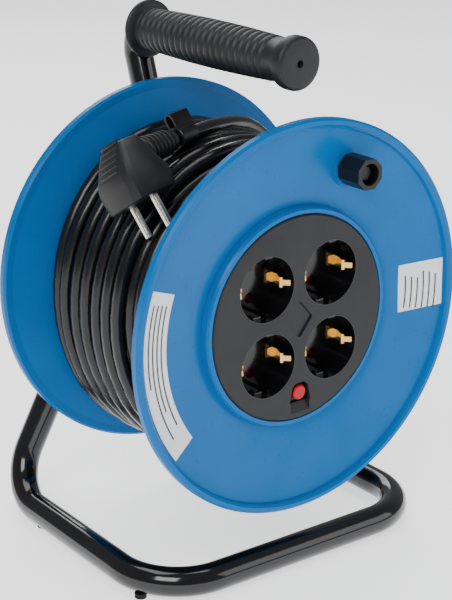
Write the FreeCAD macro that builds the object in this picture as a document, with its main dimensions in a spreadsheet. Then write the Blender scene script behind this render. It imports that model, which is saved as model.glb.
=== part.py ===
"""An extension cord reel: a drum of cable with four socket outlets, turning on a bent tube stand.

Millimetres, +Z up. The origin is on the floor under the middle of the stand. The sockets face -Y and
the drum turns about a line along Y at hub height. Depths are counted from the front rim of the drum
towards the back.
"""
import FreeCAD, Part
import math
import os

from FreeCAD import Placement, Rotation, Vector

doc = FreeCAD.newDocument("cord_reel")

# ---------------------------------------------------------------- driving dimensions
SIZES = {
    # stand
    "foot_height": 1.5,
    "tube_radius": 9,
    "tube_wall": 1.5,
    "rail_half_width": 101,
    "rail_height": 10.5,
    "front_rail_y": -81.7,
    "rear_corner_y": 89.5,
    "leg_top_x": 34.6,
    "support_y": 76,
    "grip_height": 301.8,
    "plate_thickness": 3,
    "axle_radius": 10,
    "running_gap": 0.05,
    "body_gap": 0.3,
    # drum
    "front_plane": -84.1,
    "hub_height": 156.1,
    "drum_roll": 2.4,
    "drum_width": 148.5,
    "flange_radius": 117.5,
    "barrel_radius": 65,
    "wall": 2.5,
    "boss_circle": 56,
    # socket panel
    "panel_depth": 6.6,
    "panel_radius": 61.8,
    "panel_thickness": 3.2,
    "socket_offset": 23.3,
    "recess_radius": 19.3,
    "recess_depth": 17.5,
    "pin_offset": 9.5,
    "button_drop": 46,
    "button_radius": 4.6,
    # crank knob
    "crank_x": 36.1,
    "crank_rise": 83,
    "knob_radius": 8.7,
    "knob_length": 17.5,
    # cable and plug
    "cable_radius": 4.25,
    "coil_half_width": 93,
    "coil_half_height": 101,
    "coil_sag": 7,
    "plug_x": -76.2,
    "plug_y": -30.5,
    "plug_z": 227.7,
    "plug_length": 35,
    "cable_behind_face": 20,
}

sheet = doc.addObject("Spreadsheet::Sheet", "Sizes")
for row, (name, value) in enumerate(SIZES.items(), start=1):
    sheet.set(f"A{row}", name)
    sheet.set(f"B{row}", str(value))
    sheet.setAlias(f"B{row}", name)
doc.recompute()


def size(name):
    """A driving dimension, as the sheet holds it."""
    return float(sheet.get(name))


# ---------------------------------------------------------------- helpers
ROLES = {"XY": "XY_Plane", "XZ": "XZ_Plane", "YZ": "YZ_Plane"}


def body_at(label, x="0", y="0", z="0"):
    """A new body whose place follows the sheet."""
    body = doc.addObject("PartDesign::Body", label)
    body.Label = label
    for letter, formula in zip("xyz", (x, y, z)):
        if formula != "0":
            body.setExpression(f"Placement.Base.{letter}", formula)
    return body


def drum_body(label, x=0, depth="0", z=0):
    """A body in the drum's own frame: Y is depth behind the front rim, X and Z turn with the drum."""
    turn = "Sizes.drum_roll"
    body = body_at(
        label,
        x=f"({x}) * cos({turn}) - ({z}) * sin({turn})",
        y=f"Sizes.front_plane + {depth}",
        z=f"Sizes.hub_height + ({x}) * sin({turn}) + ({z}) * cos({turn})",
    )
    body.Placement.Rotation = drum_rotation()
    return body


def drum_rotation():
    """The drum at rest stands a little anticlockwise, seen from the sockets."""
    return Rotation(Vector(0, -1, 0), size("drum_roll"))


def drum_place(x, depth, z):
    """A point of the drum's frame in the part's frame."""
    return Vector(0, size("front_plane") + depth, size("hub_height")) + drum_rotation().multVec(
        Vector(x, 0, z)
    )


def loop_of(points, radii=0):
    """A closed outline through points, with its corners rounded by tangent arcs."""
    count = len(points)
    if not isinstance(radii, (list, tuple)):
        radii = [radii] * count
    corners = [Vector(x, y, 0) for x, y in points]
    edges = []
    ends = []
    for i, corner in enumerate(corners):
        if radii[i] == 0:
            ends.append((corner, corner))
            continue
        back = (corners[i - 1] - corner).normalize()
        ahead = (corners[(i + 1) % count] - corner).normalize()
        half = back.getAngle(ahead) / 2
        reach = radii[i] / math.tan(half)
        centre = corner + (back + ahead).normalize() * (radii[i] / math.sin(half))
        start = corner + back * reach
        end = corner + ahead * reach
        middle = centre + (corner - centre).normalize() * radii[i]
        edges.append(Part.Arc(start, middle, end))
        ends.append((start, end))
    for i in range(count):
        start = ends[i][1]
        end = ends[(i + 1) % count][0]
        if start.distanceToPoint(end) > 1e-6:
            edges.append(Part.LineSegment(start, end))
    return edges


def circle(x, y, radius):
    return [Part.Circle(Vector(x, y, 0), Vector(0, 0, 1), radius)]


def rectangle(x0, y0, x1, y1, radius=0):
    return loop_of([(x0, y0), (x1, y0), (x1, y1), (x0, y1)], radius)


def ring_of(shape, radius, count, first_angle=0):
    """Copies of circle(x, y, shape) round the origin."""
    made = []
    for i in range(count):
        angle = math.radians(first_angle + 360 * i / count)
        made += circle(radius * math.cos(angle), radius * math.sin(angle), shape)
    return made


def sketch_on(body, name, plane, edges, offset=0):
    """A sketch on one of the body's own planes, moved along that plane's normal."""
    origin = next(f for f in body.Origin.OriginFeatures if f.Role == ROLES[plane])
    made = body.newObject("Sketcher::SketchObject", name)
    made.AttachmentSupport = (origin, [""])
    made.MapMode = "FlatFace"
    made.AttachmentOffset = Placement(Vector(0, 0, offset), Rotation())
    made.addGeometry(edges, False)
    return made


def turned(body, name, points, radii=0, degrees=360):
    """A solid of revolution about the body's Y axis, from an outline of (radius, depth) points."""
    profile = sketch_on(body, name + "_profile", "XY", loop_of(points, radii))
    made = body.newObject("PartDesign::Revolution", name)
    made.Profile = profile
    made.ReferenceAxis = (profile, ["V_Axis"])
    made.Angle = degrees
    doc.recompute()
    return made


def padded(body, name, edges, depth, length, plane="XZ"):
    """A pad that starts at a depth and runs further back (+Y), or up (+Z) from a height."""
    backwards = plane == "XZ"
    profile = sketch_on(body, name + "_outline", plane, edges, -depth if backwards else depth)
    made = body.newObject("PartDesign::Pad", name)
    made.Profile = profile
    made.Reversed = backwards
    if isinstance(length, str):
        made.setExpression("Length", length)
    else:
        made.Length = length
    doc.recompute()
    return made


def pocketed(body, name, edges, depth, length, plane="XZ"):
    """A pocket cut from a depth towards the back (+Y), or from a height downwards (-Z)."""
    before = body.Shape.Volume
    backwards = plane == "XZ"
    profile = sketch_on(body, name + "_outline", plane, edges, -depth if backwards else depth)
    made = body.newObject("PartDesign::Pocket", name)
    made.Profile = profile
    if isinstance(length, str):
        made.setExpression("Length", length)
    else:
        made.Length = length
    doc.recompute()
    if not before - body.Shape.Volume > 0:
        raise RuntimeError(f"{name} cut nothing")
    return made


def cut_sideways(body, name, edges, start, length):
    """A pocket with an outline in (depth, height), cut from start along +X."""
    before = body.Shape.Volume
    made = body.newObject("PartDesign::Pocket", name)
    made.Profile = sketch_on(body, name + "_outline", "YZ", edges, start)
    made.Reversed = True
    made.Length = length
    doc.recompute()
    if not before - body.Shape.Volume > 0:
        raise RuntimeError(f"{name} cut nothing")


def repeat_round(body, name, feature, count):
    """Copies of a feature round the body's Y axis."""
    profile = feature.Profile[0]
    made = body.newObject("PartDesign::PolarPattern", name)
    made.Originals = [feature]
    made.Axis = (profile, ["N_Axis"])
    made.Angle = 360
    made.Occurrences = count
    body.Tip = made
    doc.recompute()
    return made


def route_of(points, radii):
    """Straight runs through points, joined by tangent arcs."""
    corners = [Vector(*p) for p in points]
    edges = []
    start = corners[0]
    for i in range(1, len(corners) - 1):
        corner = corners[i]
        back = (corners[i - 1] - corner).normalize()
        ahead = (corners[i + 1] - corner).normalize()
        half = back.getAngle(ahead) / 2
        reach = radii[i - 1] / math.tan(half)
        centre = corner + (back + ahead).normalize() * (radii[i - 1] / math.sin(half))
        enter = corner + back * reach
        leave = corner + ahead * reach
        middle = centre + (corner - centre).normalize() * radii[i - 1]
        edges.append(Part.LineSegment(start, enter).toShape())
        edges.append(Part.Arc(enter, middle, leave).toShape())
        start = leave
    edges.append(Part.LineSegment(start, corners[-1]).toShape())
    return Part.Wire(edges)


def swept(label, path, radius_formula):
    """A round solid along a path, with its radius from the sheet."""
    first = path.Shape.Edges[0]
    direction = first.tangentAt(first.FirstParameter)
    section = doc.addObject("Part::Circle", label + "_section")
    section.setExpression("Radius", radius_formula)
    section.Placement = Placement(
        first.valueAt(first.FirstParameter), Rotation(Vector(0, 0, 1), direction)
    )
    made = doc.addObject("Part::Sweep", label)
    made.Label = label
    made.Sections = [section]
    made.Spine = (path, [f"Edge{i + 1}" for i in range(len(path.Shape.Edges))])
    made.Solid = True
    made.Frenet = False
    doc.recompute()
    return made


def path_object(label, points, radii):
    made = doc.addObject("Part::Feature", label)
    made.Shape = route_of(points, radii)
    return made


def cut_from(label, base, tool):
    made = doc.addObject("Part::Cut", label)
    made.Label = label
    made.Base = base
    made.Tool = tool
    doc.recompute()
    return made


def fused(label, pieces):
    made = doc.addObject("Part::MultiFuse", label)
    made.Label = label
    made.Shapes = pieces
    doc.recompute()
    return made


parts = []


def keep(made):
    """Marks an object as a finished sub-part."""
    parts.append(made)
    return made


# ---------------------------------------------------------------- stand
TUBE_BEND = 40
LEG_BEND = 30
LEG_TOP_RISE = 12
GRIP_BEND = 13
MAST_BEND = 60


def make_tube(label, points, radii):
    """A hollow round tube along a path."""
    path = path_object(label + "_path", points, radii)
    outside = swept(label + "_outside", path, "Sizes.tube_radius")
    inside = swept(label + "_inside", path, "Sizes.tube_radius - Sizes.tube_wall")
    return keep(cut_from(label, outside, inside))


def leg_direction():
    """From a rear floor corner towards the hub, for the left leg."""
    foot = Vector(-size("rail_half_width"), size("rear_corner_y"), size("rail_height"))
    top = Vector(-size("leg_top_x"), size("support_y"), size("hub_height"))
    return (top - foot).normalize()


def leg_top():
    """The upper end of the left leg, a little above the hub's height."""
    top = Vector(-size("leg_top_x"), size("support_y"), size("hub_height"))
    return top + leg_direction() * LEG_TOP_RISE


def make_base_tube():
    """The floor loop and both legs, bent from one tube."""
    top = leg_top()
    side = size("rail_half_width")
    low = size("rail_height")
    left = [
        (top.x, top.y, top.z),
        (-side, size("rear_corner_y"), low),
        (-side, size("front_rail_y"), low),
    ]
    right = [(-x, y, z) for x, y, z in reversed(left)]
    make_tube("base_tube", left + right, [LEG_BEND, TUBE_BEND, TUBE_BEND, LEG_BEND])


GRIP_FRONT_Y = -71.6
GRIP_BACK_Y = 92.2
MAST_FOOT_DROP = 22
MAST_TURN_HEIGHT = 258


def make_handle_tube():
    """The mast behind the drum, bent forward over it to carry the grip."""
    points = [
        (0, GRIP_FRONT_Y + CAP_WALL, size("grip_height")),
        (0, GRIP_BACK_Y, size("grip_height")),
        (0, size("support_y"), MAST_TURN_HEIGHT),
        (0, size("support_y"), size("hub_height") - MAST_FOOT_DROP),
    ]
    make_tube("handle_tube", points, [GRIP_BEND, MAST_BEND])


def make_tube_caps():
    """A domed cap in each open tube end: two leg tops and the foot of the mast."""
    inner = size("tube_radius") - size("tube_wall")
    cap_depth = 8
    cap_rise = 2
    top = leg_top()
    up = leg_direction()
    ends = [
        (top, up),
        (Vector(-top.x, top.y, top.z), Vector(-up.x, up.y, up.z)),
        (Vector(0, size("support_y"), size("hub_height") - MAST_FOOT_DROP), Vector(0, 0, -1)),
    ]
    pieces = []
    for i, (end, direction) in enumerate(ends):
        turn = Rotation(Vector(0, 0, 1), direction)
        stem = doc.addObject("Part::Cylinder", f"cap_stem_{i + 1}")
        stem.Radius = inner
        stem.Height = cap_depth
        stem.Placement = Placement(end - direction * cap_depth, turn)
        head = doc.addObject("Part::Cone", f"cap_head_{i + 1}")
        head.Radius1 = inner
        head.Radius2 = inner - 1.5
        head.Height = cap_rise
        head.Placement = Placement(end, turn)
        pieces += [stem, head]
    keep(fused("tube_end_caps", pieces))


CAP_WALL = 4
CAP_LENGTH = 9
CAP_RADIUS = 15.1
GRIP_END_RADIUS = 12.6
GRIP_MIDDLE_RADIUS = 13.9
RIB_HEIGHT = 1.4
RIBS = 21
FIRST_RIB = 21
RIB_STRETCH = 121
COLLAR_RADIUS = 17.6


def make_grip():
    """The ribbed rubber grip, with a round cap in front and a flared collar at the back."""
    body = body_at("handle_grip", z="Sizes.grip_height")
    body.Placement.Base.y = GRIP_FRONT_Y
    hole = size("tube_radius")
    pitch = RIB_STRETCH / RIBS
    last_rib = FIRST_RIB + RIB_STRETCH
    points = [
        (0, 0),
        (CAP_RADIUS - 1.5, 0),
        (CAP_RADIUS, 1.5),
        (CAP_RADIUS, CAP_LENGTH - 2),
        (CAP_RADIUS - 1.2, CAP_LENGTH),
        (GRIP_END_RADIUS, CAP_LENGTH + 1),
    ]
    for i in range(RIBS):
        bulge = math.sin(math.pi * (i + 0.5) / RIBS)
        crest = GRIP_END_RADIUS + (GRIP_MIDDLE_RADIUS - GRIP_END_RADIUS) * bulge
        start = FIRST_RIB + i * pitch
        points += [
            (crest - RIB_HEIGHT, start),
            (crest, start + 0.3 * pitch),
            (crest, start + 0.7 * pitch),
        ]
    points += [
        (GRIP_END_RADIUS, last_rib),
        (COLLAR_RADIUS - 1.2, last_rib + 1.6),
        (COLLAR_RADIUS, last_rib + 3),
        (COLLAR_RADIUS, last_rib + 4.4),
        (hole + 4.9, last_rib + 5.5),
        (hole + 4.9, last_rib + 2.5),
        (hole, last_rib - 1),
        (hole, CAP_WALL),
        (0, CAP_WALL),
    ]
    turned(body, "grip_shell", points)
    pocketed(body, "vent_hole", circle(0, 0, 1.25), 0, 2)
    keep(body)


def make_hub_plate():
    """The steel plate that ties both legs and the mast together behind the drum."""
    body = body_at(
        "hub_plate",
        y="Sizes.support_y - Sizes.tube_radius - Sizes.plate_thickness",
        z="Sizes.hub_height",
    )
    low = -20
    shoulder = 16
    top = 30
    right = [(46, low), (42, shoulder), (14, top)]
    left = [(-x, z) for x, z in reversed(right)]
    padded(body, "plate", loop_of(right + left, 5), 0, "Sizes.plate_thickness")
    through = size("plate_thickness") + 1
    pocketed(body, "axle_hole", circle(0, 0, size("axle_radius")), 0, through)
    keep(body)


AXLE_FRONT = 95.5
COLLAR_FRONT = 141.9
AXLE_THREAD = 4
WASHER_THICKNESS = 2


def make_axle():
    """A stub axle pressed into the plate, with a collar behind the drum and a threaded end."""
    body = drum_body("axle")
    radius = size("axle_radius")
    plate_front = size("support_y") - size("tube_radius") - size("plate_thickness") - size("front_plane")
    plate_back = plate_front + size("plate_thickness")
    collar = 15
    thread_end = AXLE_FRONT + 25
    points = [
        (AXLE_THREAD, AXLE_FRONT),
        (radius - 0.8, AXLE_FRONT),
        (radius, AXLE_FRONT + 0.8),
        (radius, COLLAR_FRONT),
        (collar, COLLAR_FRONT),
        (collar, plate_front),
        (radius, plate_front),
        (radius, plate_back),
        (0, plate_back),
        (0, thread_end),
        (AXLE_THREAD, thread_end),
    ]
    turned(body, "axle_shaft", points)
    keep(body)


def make_axle_washer():
    """The large washer that keeps the hub on the axle."""
    body = drum_body("axle_washer")
    bore = AXLE_THREAD + 0.2
    rim = 16.5
    front = AXLE_FRONT - WASHER_THICKNESS
    turned(body, "washer_disc", [(bore, front), (rim, front), (rim, AXLE_FRONT), (bore, AXLE_FRONT)])
    keep(body)


def hexagon(across_flats):
    reach = across_flats / math.sqrt(3)
    corners = [math.radians(60 * i) for i in range(6)]
    return loop_of([(reach * math.cos(a), reach * math.sin(a)) for a in corners])


def make_axle_screw():
    """The hexagon screw that holds the washer on the axle's front end."""
    body = drum_body("axle_screw")
    head = 5.5
    start = AXLE_FRONT - WASHER_THICKNESS
    padded(body, "screw_head", hexagon(13), start - head, head)
    padded(body, "screw_shank", circle(0, 0, AXLE_THREAD), start, 22)
    keep(body)


FRONT_STUD_Y = -61
REAR_STUD_Y = 50
STUD_RADIUS = 3.6


def make_foot_pads():
    """Four rubber studs under the floor tube."""
    side = size("rail_half_width")
    pieces = []
    corners = [(x, y) for y in (FRONT_STUD_Y, REAR_STUD_Y) for x in (-side, side)]
    for i, (x, y) in enumerate(corners):
        stud = doc.addObject("Part::Cylinder", f"stud_{i + 1}")
        stud.Radius = STUD_RADIUS
        stud.setExpression("Height", "Sizes.foot_height + Sizes.tube_wall")
        stud.Placement = Placement(Vector(x, y, 0), Rotation())
        pieces.append(stud)
    studs = fused("foot_studs", pieces)
    keep(cut_from("foot_pads", studs, doc.getObject("base_tube_outside")))


# ---------------------------------------------------------------- drum
BOSS_ANGLE = 20
BOSS_COUNT = 4
BOSS_RADIUS = 4
TUBE_RADIUS = 5.5
TUBE_FRONT = 36
SCREW_RADIUS = 1.9
SCREW_HEAD = 3.9
LEDGE_DEPTH = 9.8
BARREL_FRONT = 14.9
FACE_OUTER = 111.6
FACE_INNER = 66.5
FACE_OUTER_DEPTH = 3.8
FACE_INNER_DEPTH = 12.1
KNOB_BASE_DEPTH = 5.4
CRANK_BOSS_RADIUS = 10.5
PIN_SHANK = 3
RIB_COUNT = 8


def face_depth(radius):
    """Depth of the front flange's visible face at a radius between the hub and the rim."""
    slope = (FACE_INNER_DEPTH - FACE_OUTER_DEPTH) / (FACE_OUTER - FACE_INNER)
    return FACE_INNER_DEPTH - (radius - FACE_INNER) * slope


def crank_seat():
    """Depth of the flat behind the flange that the crank pin's nut sits on."""
    crank = math.hypot(size("crank_x"), size("crank_rise"))
    return face_depth(crank - CRANK_BOSS_RADIUS) + size("wall") + size("body_gap")


def boss_ring(radius):
    """A circle of the radius at each of the places where the drum is screwed together."""
    return ring_of(radius, size("boss_circle"), BOSS_COUNT, BOSS_ANGLE)


def make_front_flange():
    """The front flange, with a lip round the panel, a spigot inside the barrel and screw bosses."""
    body = drum_body("front_flange")
    rim = size("flange_radius")
    wall = size("wall")
    panel = size("panel_depth")
    spigot = size("barrel_radius") - wall
    back = FACE_INNER_DEPTH + wall
    points = [
        (rim, 1.4),
        (rim - 1.4, 0),
        (rim - 3.8, 0),
        (rim - 5.2, 1.4),
        (FACE_OUTER, FACE_OUTER_DEPTH),
        (FACE_INNER, FACE_INNER_DEPTH),
        (FACE_INNER - 0.7, panel + 1.8),
        (FACE_INNER - 1.7, panel + 0.5),
        (spigot, panel + 0.5),
        (spigot, LEDGE_DEPTH),
        (spigot - 3.7, LEDGE_DEPTH),
        (spigot - 3.7, LEDGE_DEPTH + wall),
        (spigot - 2.7, LEDGE_DEPTH + wall),
        (spigot - 2.7, back + 12),
        (spigot - 0.2, back + 12),
        (spigot - 0.2, back),
        (FACE_INNER, back),
        (FACE_OUTER, FACE_OUTER_DEPTH + wall),
        (rim - 1.5, 6.4),
        (rim, 5.2),
    ]
    turned(body, "flange", points)
    boss_front = LEDGE_DEPTH + 1
    padded(body, "screw_boss", boss_ring(BOSS_RADIUS), boss_front, TUBE_FRONT - boss_front)
    pocketed(body, "screw_pilot", boss_ring(SCREW_RADIUS), boss_front + 6, TUBE_FRONT)
    crank = (size("crank_x"), size("crank_rise"))
    start = KNOB_BASE_DEPTH + size("body_gap")
    padded(body, "crank_boss", circle(*crank, CRANK_BOSS_RADIUS), start, crank_seat() - start)
    pocketed(body, "crank_hole", circle(*crank, PIN_SHANK), 0, 20)
    keep(body)


def make_drum_barrel():
    """The barrel that the cable winds on, with a full-length screw tube behind each boss."""
    body = drum_body("drum_barrel")
    outer = size("barrel_radius")
    inner = outer - size("wall")
    back = barrel_back()
    points = [(inner, BARREL_FRONT), (outer, BARREL_FRONT), (outer, back), (inner, back)]
    turned(body, "barrel", points)
    padded(body, "screw_tubes", boss_ring(TUBE_RADIUS), TUBE_FRONT, back - TUBE_FRONT)
    web = rectangle(size("boss_circle") + 4, -1, outer - 1, 1)
    turn = Rotation(Vector(0, 0, 1), BOSS_ANGLE)
    for edge in web:
        edge.rotate(Placement(Vector(), turn))
    first_web = padded(body, "tube_web", web, TUBE_FRONT, back - 10 - TUBE_FRONT)
    repeat_round(body, "tube_webs", first_web, BOSS_COUNT)
    pocketed(body, "tube_bores", boss_ring(SCREW_RADIUS + 0.2), TUBE_FRONT - 1, back)
    hole = circle(GLAND_DEPTH, 0, GLAND_RADIUS)
    cut_sideways(body, "gland_hole", hole, outer - 10, 15)
    keep(body)


def back_wall():
    """Depth of the drum's flat back."""
    return size("drum_width") - FACE_INNER_DEPTH + 3


def barrel_back():
    return back_wall() - size("wall")


GLAND_DEPTH = 121
GLAND_RADIUS = 7.5


def make_rear_flange():
    """The rear flange: rim, flat back with ribs, hub sleeve and a spigot inside the barrel."""
    body = drum_body("rear_flange")
    rim = size("flange_radius")
    width = size("drum_width")
    wall = size("wall")
    back = back_wall()
    sleeve = 17
    bore = 13
    sleeve_front = AXLE_FRONT + 0.5
    spigot = size("barrel_radius") - wall - 0.2
    points = [
        (bore, sleeve_front),
        (sleeve, sleeve_front),
        (sleeve, back - wall),
        (spigot - wall, back - wall),
        (spigot - wall, back - wall - 8),
        (spigot, back - wall - 8),
        (spigot, back - wall),
        (FACE_INNER + 5, back - wall),
        (FACE_OUTER, width - FACE_OUTER_DEPTH - wall),
        (rim - 1.5, width - 6.4),
        (rim, width - 5.2),
        (rim, width - 1.4),
        (rim - 1.4, width),
        (rim - 3.8, width),
        (rim - 5.2, width - 1.4),
        (FACE_OUTER, width - FACE_OUTER_DEPTH),
        (FACE_INNER + 5, back),
        (bore, back),
    ]
    turned(body, "flange", points)
    pocketed(body, "tube_room", boss_ring(TUBE_RADIUS + 0.3), back - wall - 9, 9)
    pocketed(body, "screw_holes", boss_ring(SCREW_RADIUS + 0.2), back - wall - 1, wall + 2)
    rib = padded(body, "back_rib", rectangle(24, -1.25, 48, 1.25), back - 0.5, 3)
    repeat_round(body, "back_ribs", rib, RIB_COUNT)
    keep(body)


def make_drum_screws():
    """Four long screws from the drum's back, through the barrel's tubes, into the front bosses."""
    body = drum_body("drum_screws")
    start = LEDGE_DEPTH + 9
    back = back_wall()
    padded(body, "shanks", boss_ring(SCREW_RADIUS), start, back + 1 - start)
    padded(body, "heads", boss_ring(SCREW_HEAD), back, 2.4)
    keep(body)


def make_hub_bush():
    """A nylon bush in the hub sleeve, with a flange that takes the thrust."""
    body = drum_body("hub_bush")
    bore = size("axle_radius") + size("running_gap")
    outside = 13
    flange = 17
    front = AXLE_FRONT + 0.5
    back = back_wall()
    points = [
        (bore, front),
        (outside, front),
        (outside, back),
        (flange, back),
        (flange, back + 2),
        (bore, back + 2),
    ]
    turned(body, "bush", points)
    keep(body)


# ---------------------------------------------------------------- socket panel
SOCKETS = [(-1, 1), (1, 1), (-1, -1), (1, -1)]
POSTS = [(-46, 0), (46, 0), (0, 46)]
CUP_LIP = 0.55
CUP_WALL = 1.5
CUP_FLOOR = 4.2
HOOKS = 4
HOOK_RADIUS = 56.6
HOOK_HALF_WIDTH = 4
PIN_HOLE = 3.05
POST_RADIUS = 3.6
SCREW_PILOT = 1.4
DIAMOND = (9.75, 11.75)
DIAMOND_DEPTH = 1.8


def socket_centres():
    step = size("socket_offset")
    return [(step * side, step * level) for side, level in SOCKETS]


def button_niche():
    """The arch-shaped opening round the reset button."""
    drop = -size("button_drop")
    low = drop - 6.5
    high = drop + 6.5
    return loop_of([(-8, low), (8, low), (5.5, high), (-5.5, high)], [1.5, 1.5, 5, 5])


def diamond(half_width, half_height):
    corners = [(-half_width, 0), (0, -half_height), (half_width, 0), (0, half_height)]
    return loop_of(corners, 1.6)


def make_socket_panel():
    """The round panel with four socket openings, a diamond hollow and the button's niche."""
    body = drum_body("socket_panel")
    face = size("panel_depth")
    edge = size("panel_radius")
    thick = size("panel_thickness")
    points = [(0, face), (edge - 0.6, face), (edge, face + 0.6), (edge, face + thick), (0, face + thick)]
    turned(body, "panel_disc", points)
    openings = []
    for x, z in socket_centres():
        openings += circle(x, z, size("recess_radius") + CUP_LIP + 0.1)
    pocketed(body, "socket_openings", openings, face - 1, thick + 2)
    pocketed(body, "diamond", diamond(*DIAMOND), face - 1, DIAMOND_DEPTH + 1)
    pocketed(body, "niche", button_niche(), face - 1, thick + 2)
    niche_low = -size("button_drop") - 6.4
    ramp_low = niche_low - 6
    ramp = loop_of([(face - 0.1, ramp_low), (face + 2.6, niche_low), (face - 0.1, niche_low)])
    cut_sideways(body, "ramp", ramp, -7, 14)
    posts = []
    pilots = []
    for x, z in POSTS:
        posts += circle(x, z, POST_RADIUS)
        pilots += circle(x, z, SCREW_PILOT)
    padded(body, "posts", posts, face + thick, CARRIER_FRONT - face - thick)
    pocketed(body, "post_pilots", pilots, face + thick + 4, CARRIER_FRONT)
    half = HOOK_HALF_WIDTH
    barb_depth = LEDGE_DEPTH + size("wall") + 0.4
    barb_length = 2
    arm_outline = rectangle(HOOK_RADIUS, -half, HOOK_RADIUS + 1.6, half)
    arm = padded(body, "hook_arm", arm_outline, face + thick, barb_depth + barb_length - face - thick)
    repeat_round(body, "hook_arms", arm, HOOKS)
    barb_outline = rectangle(HOOK_RADIUS, -half, HOOK_RADIUS + 2.6, half)
    barb = padded(body, "hook_barb", barb_outline, barb_depth, barb_length)
    repeat_round(body, "hook_barbs", barb, HOOKS)
    keep(body)


def make_centre_badge():
    """A blank dark inlay in the panel's diamond."""
    body = drum_body("centre_badge")
    half_width, half_height = DIAMOND
    thick = 0.6
    outline = diamond(half_width - 0.1, half_height - 0.1)
    padded(body, "inlay", outline, size("panel_depth") + DIAMOND_DEPTH - thick, thick)
    keep(body)


def socket_body(name, number, x, z):
    """A body for a piece of one socket, with depths counted from the panel's face."""
    return drum_body(f"{name}_{number}", x=x, depth="Sizes.panel_depth", z=z)


def make_socket_cup(number, x, z):
    """The glossy well of one socket: wall, floor with pin holes, earth slots and guide ribs."""
    body = socket_body("socket_cup", number, x, z)
    inside = size("recess_radius")
    depth = size("recess_depth")
    shoulder = size("panel_thickness")
    lip = inside + CUP_LIP
    outside = inside + CUP_WALL
    floor_back = depth + CUP_FLOOR
    points = [
        (inside, 0),
        (lip, 0),
        (lip, shoulder),
        (outside, shoulder),
        (outside, floor_back),
        (0, floor_back),
        (0, depth),
        (inside, depth),
    ]
    turned(body, "well", points)
    flat = 16.4
    ribs = []
    for side in (-1, 1):
        low, high = sorted((side * flat, side * inside))
        ribs += rectangle(-7.5, low, -2, high)
        ribs += rectangle(2, low, 7.5, high)
    padded(body, "guide_ribs", ribs, shoulder + 1, depth - shoulder)
    holes = circle(0, size("pin_offset"), PIN_HOLE) + circle(0, -size("pin_offset"), PIN_HOLE)
    pocketed(body, "pin_holes", holes, depth - 1, CUP_FLOOR + 2)
    slots = []
    half = CLIP_WIDTH / 2 + 0.2
    for side in (-1, 1):
        low, high = sorted((side * (CLIP_RADIUS + 0.2), side * (CLIP_RADIUS - CLIP_METAL - 0.2)))
        slots += rectangle(low, -half, high, half)
    pocketed(body, "earth_slots", slots, depth - 1, CUP_FLOOR + 2)
    keep(body)


CLIP_WIDTH = 6
CLIP_METAL = 0.8
CLIP_RADIUS = 16.9
CLIP_BACK = 25
TONGUE_HALF_WIDTH = 1.6


def make_earth_clip(number, x, z, inward):
    """The sprung brass earth contact of one socket, with a tab to the shared earth bar."""
    body = socket_body("earth_clip", number, x, z)
    inner_radius = CLIP_RADIUS - CLIP_METAL
    floor = size("recess_depth") - 0.05
    outline = [
        (CLIP_RADIUS, CLIP_BACK),
        (CLIP_RADIUS, 12),
        (14.3, 6),
        (18, 1.6),
        (17.2, 1.6),
        (13.5, 6),
        (inner_radius, 12),
        (inner_radius, floor - CLIP_METAL),
        (12, floor - CLIP_METAL),
        (12, floor),
        (inner_radius, floor),
        (inner_radius, CLIP_BACK - CLIP_METAL),
    ]
    mirrored = [(-radius, depth) for radius, depth in reversed(outline)]
    strip = sketch_on(body, "strip_outline", "XY", loop_of(outline + mirrored), -CLIP_WIDTH / 2)
    pad = body.newObject("PartDesign::Pad", "strip")
    pad.Profile = strip
    pad.Length = CLIP_WIDTH
    doc.recompute()
    sides = rectangle(-19, TONGUE_HALF_WIDTH, 19, 4) + rectangle(-19, -4, 19, -TONGUE_HALF_WIDTH)
    pocketed(body, "tongue_sides", sides, 0, 5)
    low, high = sorted((inward * inner_radius, inward * (size("socket_offset") - 0.2)))
    tab = rectangle(low, -CLIP_WIDTH / 2, high, CLIP_WIDTH / 2)
    padded(body, "tab", tab, CLIP_BACK - CLIP_METAL, CLIP_METAL)
    keep(body)


def make_shutter(number, x, z):
    """A red shutter plate behind both pin holes, which slides sideways."""
    body = socket_body("shutter", number, x, z)
    front = size("recess_depth") + CUP_FLOOR + size("body_gap")
    padded(body, "plate", rectangle(-4.4, -13.5, 4.4, 13.5, 1.5), front, 1.5)
    keep(body)


CARRIER_RADIUS = 50
CARRIER_FRONT = 33.6
CARRIER_BACK = 36.6
SLEEVE_INSIDE = 2.45
SLEEVE_OUTSIDE = 3.3
LIVE_BAR = 45.2
NEUTRAL_BAR = 48.2


def make_contact_bar(label, side, level, depth):
    """One pole's busbar: a contact sleeve behind each socket, joined by strips."""
    body = drum_body(label)
    step = size("socket_offset")
    holes = [(x, z + level * size("pin_offset")) for x, z in socket_centres()]
    sleeve_front = CARRIER_FRONT - 1.6
    sleeves = []
    for x, z in holes:
        sleeves += circle(x, z, SLEEVE_OUTSIDE)
    padded(body, "sleeves", sleeves, sleeve_front, depth + 1 - sleeve_front)
    rows = sorted({z for _, z in holes})
    far = step + 10
    for i, z in enumerate(rows):
        low, high = sorted((side * far, -side * step))
        padded(body, f"strip_{i + 1}", rectangle(low, z - 3, high, z + 3), depth, 1)
    low, high = sorted((side * (far - 6), side * far))
    padded(body, "link", rectangle(low, rows[0] - 3, high, rows[1] + 3), depth, 1)
    bores = []
    for x, z in holes:
        bores += circle(x, z, SLEEVE_INSIDE)
    pocketed(body, "sleeve_bores", bores, sleeve_front - 1, depth)
    keep(body)


def make_earth_bar():
    """The strip that joins the four earth clips."""
    body = drum_body("earth_bar")
    reach = size("socket_offset") + 3
    depth = size("panel_depth") + CLIP_BACK
    padded(body, "strip", rectangle(-3, -reach, 3, reach), depth, 1)
    keep(body)


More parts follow.
